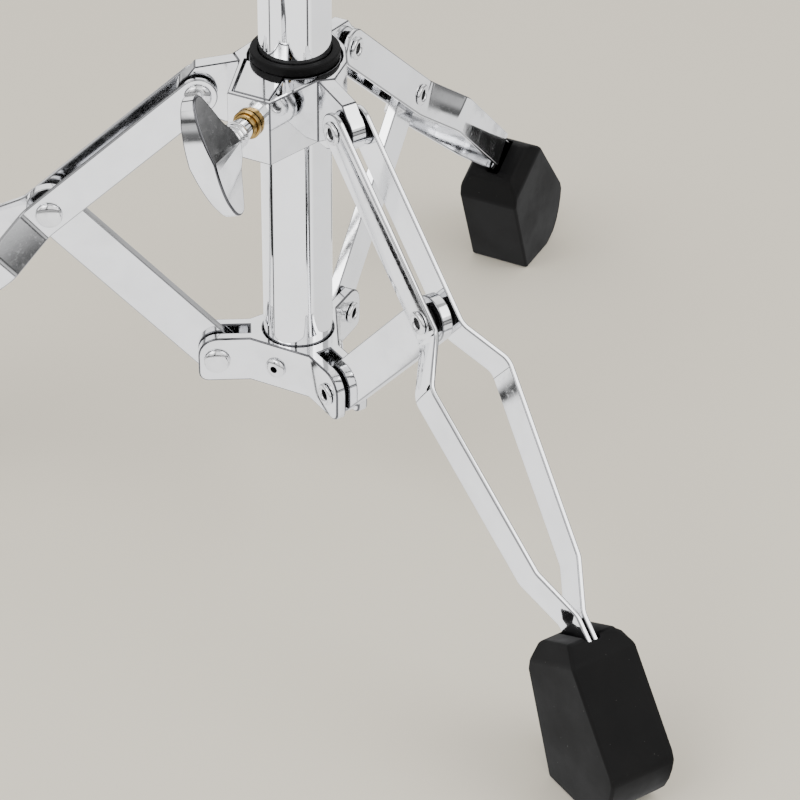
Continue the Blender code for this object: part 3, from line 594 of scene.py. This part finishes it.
def eyeletProfile(face):
    base = -face - rivet["gap"]
    outer, hollow, h = rivet["rolled"], rivet["hollow"], rivet["rolledHeight"]
    mid, half = (outer + hollow) / 2, (outer - hollow) / 2
    roll = [(mid + half * math.cos(a), base - 0.45 - (h - 0.45) * math.sin(a))
            for a in (math.radians(15 * k) for k in range(13))]
    return [(rivet["shank"], base), (outer - 0.15, base), (outer, base - 0.15)] + roll


def modelRivet(face):
    well = -face + rivet["throughDepth"]
    profile = domeProfile(face) + eyeletProfile(face) + [(rivet["hollow"], well), (0.0, well)]
    # the rolled end's hole is marked for painted shade
    return paintShadeInHollow(turnPiece("rivet", profile, 48, 40), rivet["hollow"] + 0.02, -99, 0)


def modelDomeHalf(face, end):
    return turnPiece("domeHalf", domeProfile(face) + [(rivet["shank"], end), (0.0, end)], 48, 40)


def modelEyeletHalf(face, end):
    well = -face + rivet["elbowDepth"]
    profile = [(0.0, -end), (rivet["shank"], -end)] + eyeletProfile(face)
    piece = turnPiece("eyeletHalf", profile + [(rivet["hollow"], well), (0.0, well)], 48, 40)
    # the hole is marked for painted shade
    return paintShadeInHollow(piece, rivet["hollow"] + 0.02, -99, 0)


outerFace = strip["offset"] + strip["halfThickness"]
innerFace = strip["offset"] - strip["halfThickness"]
hubRivet, clevisRivet = modelRivet(outerFace), modelRivet(rivet["clevisFace"])
domeHalf, eyeletHalf = modelDomeHalf(outerFace, innerFace), modelEyeletHalf(outerFace, innerFace)
for side in sides:
    leg = legPlace(side)
    clevis = bracePlace(side) @ rivetSide
    dress(copyTo(hubRivet, side + "HubRivet", leg @ rivetSide), side + "_leg",
          side + "_hub_rivet", chrome["rivetChrome"])
    dress(copyTo(domeHalf, side + "ElbowRivetDome", leg @ atElbow @ rivetSide), side + "_leg",
          side + "_elbow_rivet_dome", chrome["rivetChrome"])
    dress(copyTo(eyeletHalf, side + "ElbowRivetEyelet", leg @ atElbow @ rivetSide), side + "_leg",
          side + "_elbow_rivet_eyelet", chrome["rivetChrome"])
    dress(copyTo(clevisRivet, side + "ClevisRivet", clevis), "stand_base",
          side + "_clevis_rivet", chrome["rivetChrome"])
for master in (hubRivet, clevisRivet, domeHalf, eyeletHalf):
    bpy.data.objects.remove(master)


# Nylon washers between the strips, the hub's arms and the braces

def washerProfile(inner, outer, low, high):
    soft = min(0.15, (high - low) / 4)
    return [(inner, low), (outer - soft, low), (outer, low + soft), (outer, high - soft),
            (outer - soft, high), (inner, high), (inner, low)]


washer = {"inner": 3.3, "outer": 6.0, "hubLow": 3.65, "elbowLow": 2.9}
for spot, low in (("hub", washer["hubLow"]), ("elbow", washer["elbowLow"])):
    high = innerFace - rivet["gap"]
    master = turnPiece("washer", washerProfile(washer["inner"], washer["outer"], low, high), 48)
    centre = atElbow if spot == "elbow" else Matrix.Identity(4)
    for side in sides:
        for word, flip in (("dome", 0.0), ("eyelet", math.pi)):
            place = legPlace(side) @ centre @ Matrix.Rotation(flip, 4, "Z") @ rivetSide
            name = side + spot.capitalize() + "Washer" + word.capitalize()
            dress(copyTo(master, name, place), side + "_leg",
                  side + "_" + spot + "_washer_" + word, nylon)
    bpy.data.objects.remove(master)
print("rivets and washers made")


# Rubber feet: a block with soft edges and a tapered mouth that the strips go into

foot = {"halfWidth": 14.6, "mouthNarrowing": 0.76, "mouthDrop": 2.6, "shoulder": 219.5, "edge": 1.3,
        "pocketHalf": 3.4, "pocketHigh": 9.0, "pocketLength": 22.0, "pocketAt": 215.0, "hingeRadius": 38.35,
        "pocketEdge": 1.2, "soleEnd": 228.0, "soleStart": 204.0}


def solePoint(radius):
    hinge = joints["front_leg_hinge"]["pos_m"]
    out, down = radius - foot["hingeRadius"], hinge[2] / mm
    return (out * math.cos(legSlope) + down * math.sin(legSlope),
            out * math.sin(legSlope) - down * math.cos(legSlope))


def modelFoot():
    nose = [(266.0, 2.4), (269.5, 0.6), (272.5, -3.5), (275.2, -8.6), (277.0, -14.0), (277.4, -20.0)]
    sole = [solePoint(foot["soleEnd"]), solePoint(foot["soleStart"])]
    mouth = [(208.8, -8.5), (214.8, 10.3), (217.6, 12.0)]
    outline = mouth + nose + sole + [(215.6, -22.0), (208.5, -12.0)]
    piece = outlinePiece("rubberFoot", outline, foot["halfWidth"])
    shoulder, lean = Vector((foot["shoulder"] * mm, 0, 0)), Vector((0.94, 0.0, -0.34))
    bpy.ops.mesh.bisect(plane_co=shoulder, plane_no=lean)
    pick("VERT", lambda v: (v.co - shoulder).dot(lean) < -1 * mm)
    bpy.ops.transform.resize(value=(1, foot["mouthNarrowing"], 1), center_override=(0, 0, 0))
    pick("VERT", lambda v: (v.co - shoulder).dot(lean) < -1 * mm and v.co.z > 9 * mm)
    bpy.ops.transform.translate(value=(0.0, 0.0, -foot["mouthDrop"] * mm))
    bpy.ops.object.mode_set(mode="OBJECT")
    softenEdges(piece, foot["edge"], 4, 24, 60)
    startClean()
    pocket = (foot["pocketLength"] * mm, 2 * foot["pocketHalf"] * mm, 2 * foot["pocketHigh"] * mm)
    bpy.ops.mesh.primitive_cube_add(size=1, location=(foot["pocketAt"] * mm, 0, 0), scale=pocket)
    tool = bpy.context.object
    bpy.ops.object.transform_apply(location=True, rotation=True, scale=True)
    softenEdges(tool, foot["pocketEdge"], 3)
    cutOrJoin(piece, tool, "DIFFERENCE")
    return evenShading(piece, 50)


master = modelFoot()
for side in sides:
    dress(copyTo(master, side + "Foot", legPlace(side)), side + "_leg", side + "_foot", rubber)
bpy.data.objects.remove(master)
print("feet made")


# Hub castings: the CAD shapes with the soft edges of polished castings

castings = {"hub_frame": ("sliding_hub", 0.5), "hub_plate": ("sliding_hub", 0.5),
            "lower_hub": ("stand_base", 0.7), "clamp_body": ("stand_base", 0.5)}
strayReach = 0.3
for node, (body, edge) in castings.items():
    name = "".join(word.capitalize() for word in node.split("_"))
    casting = softenEdges(nodeCopy(node), edge, 3, 32, 45, False)
    pullStraysBack(casting, node, strayReach)
    evenShading(casting, 45)
    casting.name = name[0].lower() + name[1:] + "Casting"
    dress(casting, body, node, chrome["castChrome"])
print("hub castings made")


# Tube, with its end plug and the clamp's bush

tube = {"outer": 14.3, "inner": 12.8, "low": tubeLow.z / mm, "high": tubeHigh.z / mm, "edge": 0.35}


def modelTube():
    e = tube["edge"]
    profile = [(tube["inner"], tube["low"]), (tube["outer"] - e, tube["low"]),
               (tube["outer"], tube["low"] + e), (tube["outer"], tube["high"] - e),
               (tube["outer"] - e, tube["high"]), (tube["inner"] + e, tube["high"]),
               (tube["inner"], tube["high"] - e), (tube["inner"], tube["low"])]
    return turnPiece("baseTubeTurned", profile, 144)


piece = modelTube()
piece.data.transform(onTube)
dress(piece, "stand_base", "base_tube", chrome["tubeChrome"])

plug = {"radius": 12.45, "length": 5.0}
plugHigh = tube["low"] + plug["length"]
piece = turnPiece("tubeEndPlug", [(0.0, tube["low"]), (plug["radius"] - 0.85, tube["low"]),
                                  (plug["radius"], tube["low"] + 0.8), (plug["radius"], plugHigh - 0.6),
                                  (plug["radius"] - 0.65, plugHigh), (0.0, plugHigh)], 64)
piece.data.transform(onTube)
dress(piece, "stand_base", "tube_end_plug", nylon)


def ringTop(inner, outer, high, soft):
    # the upper half of a ring's section, its outer corner rounded
    path = []
    for k in range(5):
        a = math.radians(18 * k)
        path.append((outer - soft + soft * math.cos(a), high - soft + soft * math.sin(a)))
    return path + [(outer - soft, high), (inner + 0.3, high), (inner, high - 0.3)]


bushing = {"inner": 14.65, "outer": 16.35, "collar": 17.8, "collarHeight": 3.6, "soft": 0.7}
hubBottom, hubTop = (corner.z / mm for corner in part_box("hub_bushing"))
seat = hubTop - bushing["collarHeight"]
inner, outer, wide = bushing["inner"], bushing["outer"], bushing["collar"]
collar = [(wide - 0.2, seat), (wide, seat + 0.2)] + ringTop(inner, wide, hubTop, bushing["soft"])
piece = turnPiece("hubBushing", [(inner, hubBottom), (outer - 0.35, hubBottom), (outer, hubBottom + 0.4),
                                 (outer, seat)] + collar + [(inner, hubBottom)], 96)
piece.data.transform(onTube)
dress(piece, "sliding_hub", "hub_bushing", nylon)

bushLow, bushHigh = (corner.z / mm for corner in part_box("clamp_bush"))
bush = {"inner": 12.8, "outer": 14.3, "lip": 17.4, "lipHeight": 1.25, "soft": 0.4}
lip, soft = bushHigh - bush["lipHeight"], bush["soft"]
piece = turnPiece("clampBush", [(bush["inner"], bushLow), (bush["outer"], bushLow), (bush["outer"], lip),
                                (bush["lip"] - soft, lip), (bush["lip"], lip + soft),
                                (bush["lip"], bushHigh - soft), (bush["lip"] - soft, bushHigh),
                                (bush["inner"] + soft, bushHigh), (bush["inner"], bushHigh - soft),
                                (bush["inner"], bushLow)], 96)
piece.data.transform(onTube)
dress(piece, "stand_base", "clamp_bush", nylon)
print("tube and nylon rings made")


# Screws, wings and nuts. On the hub the distances run out from the boss's flat face.

screw = {"radius": 3.0, "pitch": 1.0, "threadDepth": 0.45, "hole": 3.35, "intoWing": 12.0}


def screwThread(tip, end):
    radius, pitch = screw["radius"], screw["pitch"]
    profile = [(0.0, tip), (radius - 0.9, tip), (radius, tip + 0.9)]
    z = tip + 1.4
    while z < end - 1.2:
        root = (radius - screw["threadDepth"], z + pitch * 0.45)
        profile += [(radius, z), root, (radius, z + pitch * 0.9)]
        z += pitch
    return profile + [(radius, end), (0.0, end)]


wing = {"halfMiddle": 6.3, "halfTip": 3.1, "tipAt": 25.3, "edge": 0.8, "barrel": 5.1}


def modelWing():
    # bow-shaped casting: X across the wings, Z out along the screw from the wing's base
    inside = throughPoints([(0.0, 11.5), (5.6, 12.8), (10.0, 15.6), (16.0, 17.6), (22.0, 19.6)], 8)
    tip = throughPoints([(22.0, 19.6), (24.4, 20.9), (25.2, 23.2), (24.2, 25.6), (22.0, 27.4)], 5)
    outside = throughPoints([(22.0, 27.4), (16.0, 30.0), (8.0, 31.5), (0.0, 31.8)], 8)
    half = inside + tip[1:] + outside[1:]
    outline = [tuple(p) for p in half] + [(-p[0], p[1]) for p in reversed(half[1:-1])]
    piece = outlinePiece("castWing", outline, wing["halfMiddle"])
    bpy.ops.mesh.select_all(action="SELECT")
    bpy.ops.mesh.bisect(plane_co=(0, 0, 0), plane_no=(1, 0, 0))
    shape = bmesh.from_edit_mesh(piece.data)
    reach = sorted({round(abs(v.co.x) / mm, 3) for v in shape.verts})
    for x in reach:
        share = min(x / wing["tipAt"], 1.0)
        narrow = 1 - (1 - wing["halfTip"] / wing["halfMiddle"]) * share
        pick("VERT", lambda v: abs(abs(v.co.x) / mm - x) < 0.002)
        bpy.ops.transform.resize(value=(1, narrow, 1), center_override=(0, 0, 0))
    bpy.ops.object.mode_set(mode="OBJECT")
    softenEdges(piece, wing["edge"], 4, 50, 60)
    r = wing["barrel"]
    ribs = []
    for z in (4.6, 7.0, 9.4):
        ribs += [(r - 0.3, z - 0.2), (r + 0.35, z + 0.4), (r + 0.35, z + 1.2), (r - 0.3, z + 1.8)]
    barrel = turnPiece("wingBarrel", [(0.0, 0.0), (4.1, 0.0), (4.5, 0.4), (4.5, 3.4), (r - 0.3, 4.0)] + ribs
                       + [(r + 0.4, 12.6), (r + 0.8, 16.0), (0.0, 20.0)], 48, 50)
    cutOrJoin(piece, barrel, "UNION")
    drillHole(piece, screw["hole"], depth=25, sides=48)
    return evenShading(piece, 48)


hubWing = {"base": 4.6, "tilt": 21.7, "screwTip": -21.0}
clampWing = {"base": 9.25, "tilt": -55.0, "screwTip": -15.5}
master = modelWing()
hubScrew = screwPlace("hub_lock_turn")
place = (hubScrew @ Matrix.Translation((0, 0, hubWing["base"] * mm))
         @ Matrix.Rotation(math.radians(hubWing["tilt"]), 4, "Z"))
dress(copyTo(master, "hubLockWing", place), "hub_lock", "hub_lock_wing", chrome["castChrome"])
acrossLugs = screwPlace("clamp_lock_turn")
place = (acrossLugs @ Matrix.Translation((0, 0, clampWing["base"] * mm))
         @ Matrix.Rotation(math.radians(clampWing["tilt"]), 4, "Z"))
dress(copyTo(master, "clampLockWing", place), "clamp_lock", "clamp_wing", chrome["castChrome"])
bpy.data.objects.remove(master)

thread = screwThread(hubWing["screwTip"], hubWing["base"] + screw["intoWing"])
piece = turnPiece("hubLockScrew", thread, 40, 30)
piece.data.transform(hubScrew)
dress(piece, "hub_lock", "hub_lock_screw", chrome["rivetChrome"])
thread = screwThread(clampWing["screwTip"], clampWing["base"] + screw["intoWing"])
piece = turnPiece("clampLockScrew", thread, 40, 30)
piece.data.transform(acrossLugs)
dress(piece, "clamp_lock", "clamp_screw", chrome["rivetChrome"])

nut = [(3.35, -3.05), (4.0, -3.05), (4.0, 0.35), (5.7, 0.35), (5.95, 0.6), (5.95, 1.75), (5.7, 2.0),
       (4.95, 2.05), (4.9, 2.35), (5.1, 2.5), (5.1, 3.55), (4.8, 3.9), (4.2, 3.95), (3.6, 3.95),
       (3.35, 3.7), (3.35, -3.05)]
piece = turnPiece("hubLockNut", nut, 64, 30)
piece.data.transform(hubScrew)
dress(piece, "sliding_hub", "hub_lock_nut", brass)


hexNut = {"low": -13.65, "high": -8.85, "radius": 5.8, "edge": 0.45}


def modelHexNut():
    low, high = hexNut["low"], hexNut["high"]
    startClean()
    bpy.ops.mesh.primitive_cylinder_add(vertices=6, radius=hexNut["radius"] * mm, depth=(high - low) * mm,
                                        location=(0, 0, (low + high) / 2 * mm))
    piece = bpy.context.object
    piece.name = "clampNut"
    bpy.ops.object.transform_apply(location=True, rotation=True, scale=True)
    softenEdges(piece, hexNut["edge"], 3)
    return drillHole(piece, screw["hole"], depth=40, sides=40)


piece = modelHexNut()
bpy.ops.object.shade_smooth_by_angle(angle=math.radians(35))
piece.data.transform(acrossLugs)
dress(piece, "stand_base", "clamp_nut", chrome["rivetChrome"])
print("screws, wings and nuts made")


# Blind rivets in the lower hub's panels

panelRivet = {"azimuths": {"front_left": 240.0, "right": 0.0, "rear_left": 120.0}, "face": 16.95,
              "offset": -1.7}
face = panelRivet["face"]
profile = [(0.0, 11.8), (2.2, 11.8), (2.2, face), (4.3, face), (4.5, face + 0.15), (4.45, face + 0.45),
           (4.1, face + 0.95), (3.4, face + 1.35), (2.6, face + 1.6), (1.9, face + 1.7),
           (1.6, face + 1.6), (1.5, face + 1.35), (1.5, face - 1.0), (0.0, face - 1.0)]
# the rivet's hole is marked for painted shade
master = paintShadeInHollow(turnPiece("panelRivet", profile, 48, 45), 1.55, 13, 99)
lowerHeight = joints["left_brace_hinge"]["pos_m"][2]
across = Matrix.Translation((0, panelRivet["offset"] * mm, 0)) @ Matrix.Rotation(math.pi / 2, 4, "Y")
for word, azimuth in panelRivet["azimuths"].items():
    turned = Matrix.Rotation(math.radians(azimuth), 4, "Z")
    place = onTube @ Matrix.Translation((0, 0, lowerHeight)) @ turned @ across
    name = "panelRivet" + word.title().replace("_", "")
    dress(copyTo(master, name, place), "stand_base", "panel_rivet_" + word,
          chrome["rivetChrome"])
bpy.data.objects.remove(master)
print("panel rivets made")


# Floor, light and camera. Chrome needs something to mirror: reflected rays see the floor as a bright
# pool with dark gaps and a dark far end, and the sky as white cards with grey between them.

studio = {"floorColour": (0.78, 0.74, 0.64, 1), "skyColour": (1.06, 1.02, 0.96, 1), "floorSize": 12.0,
          "floorShade": [(0.375, 1.0), (0.40, 0.74), (0.70, 0.74), (0.76, 1.0)],
          "skyShade": [(0.405, 1.0), (0.43, 0.42), (0.57, 0.42), (0.595, 1.0)], "gap": 0.03, "skyGap": 0.05,
          "floorGaps": [(-176, 4.0), (-52, 4.5)],
          "skyGaps": [(-140, 10), (-100, 6), (150, 12)], "floorGlow": 1.95, "skyGlow": 1.8}


def cardRing(board, direction, stops):
    turned = board.node("ShaderNodeSeparateXYZ", None, {0: direction})
    y = Wire(board, turned.socket.node.outputs[1])
    angle = board.node("ShaderNodeMath", {"operation": "ARCTAN2"}, {0: y, 1: turned})
    return board.ramp(angle * (1 / math.tau) + 0.5, stops)


def gapStops(gaps, card, gap):
    # gaps are (azimuth in degrees, width in degrees)
    stops = [(0.0, card)]
    for azimuth, width in sorted(gaps):
        at, half, soft = azimuth / 360 + 0.5, width / 720, 0.0035
        stops += [(at - half - soft, card), (at - half, gap), (at + half, gap), (at + half + soft, card)]
    return stops + [(1.0, card)]


def makeFloor():
    startClean()
    bpy.ops.mesh.primitive_plane_add(size=studio["floorSize"], location=(tubeMiddle.x, tubeMiddle.y, 0.0))
    floor = bpy.context.object
    floor.name = "studioFloor"
    material = bpy.data.materials.new("floorPaper")
    material.use_nodes = True
    board = Board(material.node_tree)
    shader = material.node_tree.nodes["Principled BSDF"]
    shader.inputs["Base Color"].default_value = studio["floorColour"]
    shader.inputs["Roughness"].default_value = 0.9
    shader.inputs["Specular IOR Level"].default_value = 0.1
    place = board.node("ShaderNodeTexCoord", output="Object")
    stops = gapStops(studio["floorGaps"], 1.0, studio["gap"]) + studio["floorShade"]
    ring = cardRing(board, place, sorted(stops))
    reach = board.node("ShaderNodeVectorMath", {"operation": "LENGTH"}, {0: place}, 1)
    pool = board.ramp(reach * 0.5, [(0.0, 0.92), (0.20, 1.0), (0.34, 1.0), (0.39, 0.07),
                                (0.52, 0.10), (0.75, 0.38)])
    cards = board.node("ShaderNodeMix", {"data_type": "RGBA", "blend_type": "MULTIPLY"},
                       {0: 1.0, 6: ring, 7: pool}, 2)
    glow = board.node("ShaderNodeEmission", None, {"Color": cards, "Strength": studio["floorGlow"]})
    path = board.node("ShaderNodeLightPath", output="Is Glossy Ray")
    paper = Wire(board, shader.outputs[0])
    mixed = board.node("ShaderNodeMixShader", None, {0: path, 1: paper, 2: glow})
    board.feed(material.node_tree.nodes["Material Output"].inputs["Surface"], mixed)
    floor.data.materials.append(material)


def makeSky():
    world = bpy.data.worlds.new("studioSky")
    bpy.context.scene.world = world
    world.use_nodes = True
    board = Board(world.node_tree)
    back = world.node_tree.nodes["Background"]
    direction = board.node("ShaderNodeTexCoord", output="Generated")
    stops = gapStops(studio["skyGaps"], 1.0, studio["skyGap"]) + studio["skyShade"]
    ring = cardRing(board, direction, sorted(stops))
    split = board.node("ShaderNodeSeparateXYZ", None, {0: direction})
    height = Wire(board, split.socket.node.outputs[2])
    lift = board.ramp(height, [(0.0, 0.30), (0.03, 0.05), (0.09, 0.06), (0.15, 0.95), (0.60, 1.0),
                               (0.85, 0.85), (0.95, 0.60)])
    cards = board.node("ShaderNodeMix", {"data_type": "RGBA", "blend_type": "MULTIPLY"},
                       {0: 1.0, 6: ring, 7: lift}, 2)
    glow = board.node("ShaderNodeMix", {"data_type": "RGBA", "blend_type": "MULTIPLY"},
                      {0: 1.0, 6: cards, 7: (studio["skyGlow"],) * 3 + (1,)}, 2)
    seen = board.node("ShaderNodeLightPath", output="Is Glossy Ray")
    board.feed(back.inputs["Color"], board.blendColours(seen, studio["skyColour"], glow))
    back.inputs["Strength"].default_value = 1.0


def makeLight(name, place, target, size, power):
    startClean()
    bpy.ops.object.light_add(type="AREA", location=place)
    light = bpy.context.object
    light.name = name
    light.data.shape = "RECTANGLE"
    light.data.size, light.data.size_y = size
    light.data.energy = power
    aim = Vector(target) - Vector(place)
    light.rotation_euler = aim.to_track_quat("-Z", "Y").to_euler()


def makeCamera():
    view = {"place": (0.0329, -1.0037, 0.7742), "turn": (54.09, 0.0, -2.53), "lens": 131.7,
            "shift": (0.0689, 0.0014)}
    startClean()
    bpy.ops.object.camera_add(location=view["place"],
                              rotation=tuple(math.radians(angle) for angle in view["turn"]))
    camera = bpy.context.object
    camera.data.sensor_width = 36.0
    camera.data.lens = view["lens"]
    camera.data.shift_x, camera.data.shift_y = view["shift"]
    bpy.context.scene.camera = camera


makeFloor()
makeSky()
makeLight("keyPanel", (-1.1, -1.0, 1.6), (0.05, 0.0, 0.15), (1.4, 1.0), 18.0)
makeLight("rightPanel", (1.3, -0.5, 1.2), (0.05, 0.0, 0.15), (1.0, 1.2), 11.0)
makeCamera()
print("studio made")
